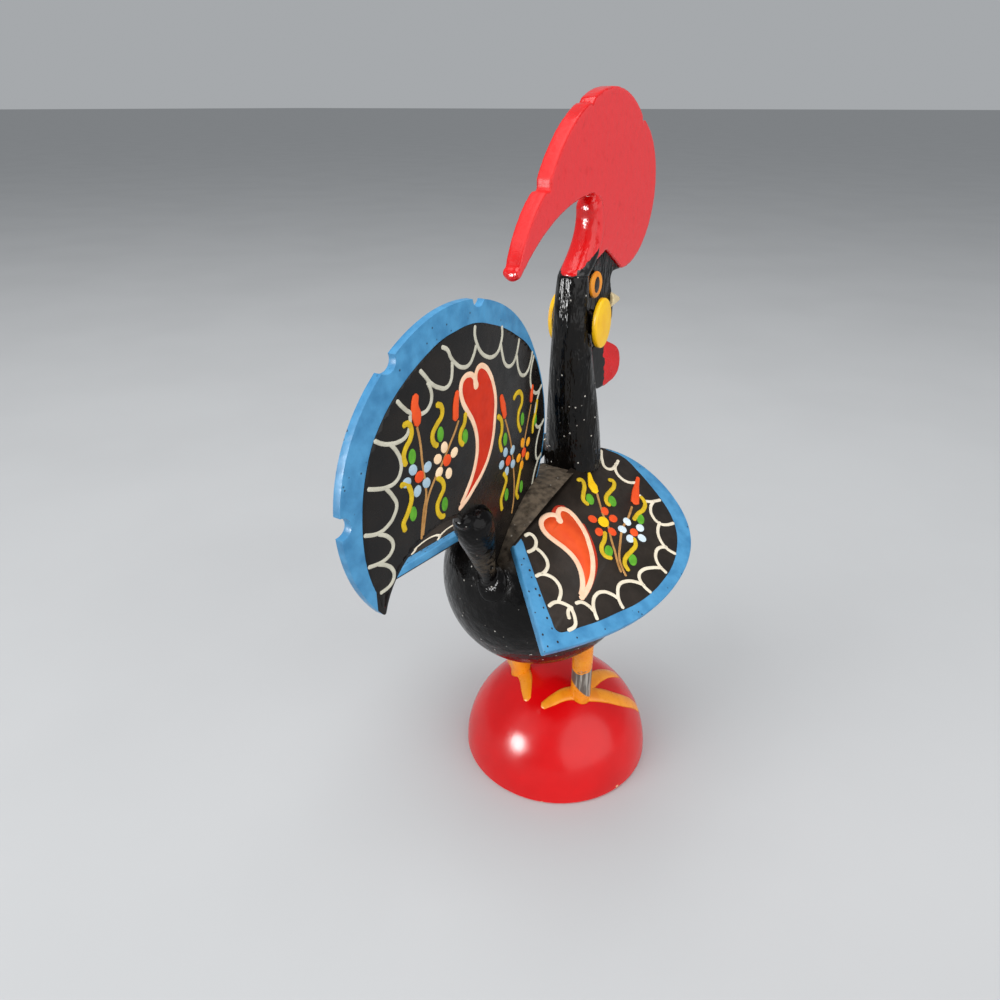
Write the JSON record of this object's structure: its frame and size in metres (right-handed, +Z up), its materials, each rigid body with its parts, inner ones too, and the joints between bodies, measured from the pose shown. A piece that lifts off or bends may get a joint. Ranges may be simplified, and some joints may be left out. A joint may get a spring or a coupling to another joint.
{
  "type": "folk rooster figurine",
  "caption": "Folk rooster figurine with an egg-shaped body, flat roof-like wings, a round bent tail fan and a hooked comb, standing on rod legs in a turned dome base.",
  "frame": {"origin": "centre of the flat underside of the dome base", "axes": "+Z up; the beak points to -Y and the tail to +Y; the bird's right side is -X"},
  "size_m": [0.0622, 0.1002, 0.1507],
  "materials": {
    "base_red": "gloss red lacquer over turned wood",
    "leg_amber": "gloss amber paint, worn at the foot",
    "black_lacquer": "gloss black lacquer over a lumpy casting",
    "wing_paint": "gloss black paint with a sky-blue border and brushed folk ornament",
    "tail_paint": "gloss black paint with a sky-blue border and brushed folk ornament",
    "comb_red": "satin red paint",
    "beak_cream": "satin cream paint",
    "eye_orange": "satin orange paint with a dark pupil",
    "lobe_yellow": "satin yellow paint"
  },
  "bodies": {
    "root": {"base_dome": "base_red", "left_leg": "leg_amber", "right_leg": "leg_amber", "body": "black_lacquer", "neck_and_head": "black_lacquer", "right_wing": "wing_paint", "left_wing": "wing_paint", "tail_fan": "tail_paint", "comb": "comb_red", "wattle": "comb_red", "beak": "beak_cream", "left_eye": "eye_orange", "right_eye": "eye_orange", "left_ear_lobe": "lobe_yellow", "right_ear_lobe": "lobe_yellow"}
  },
  "joints": []
}
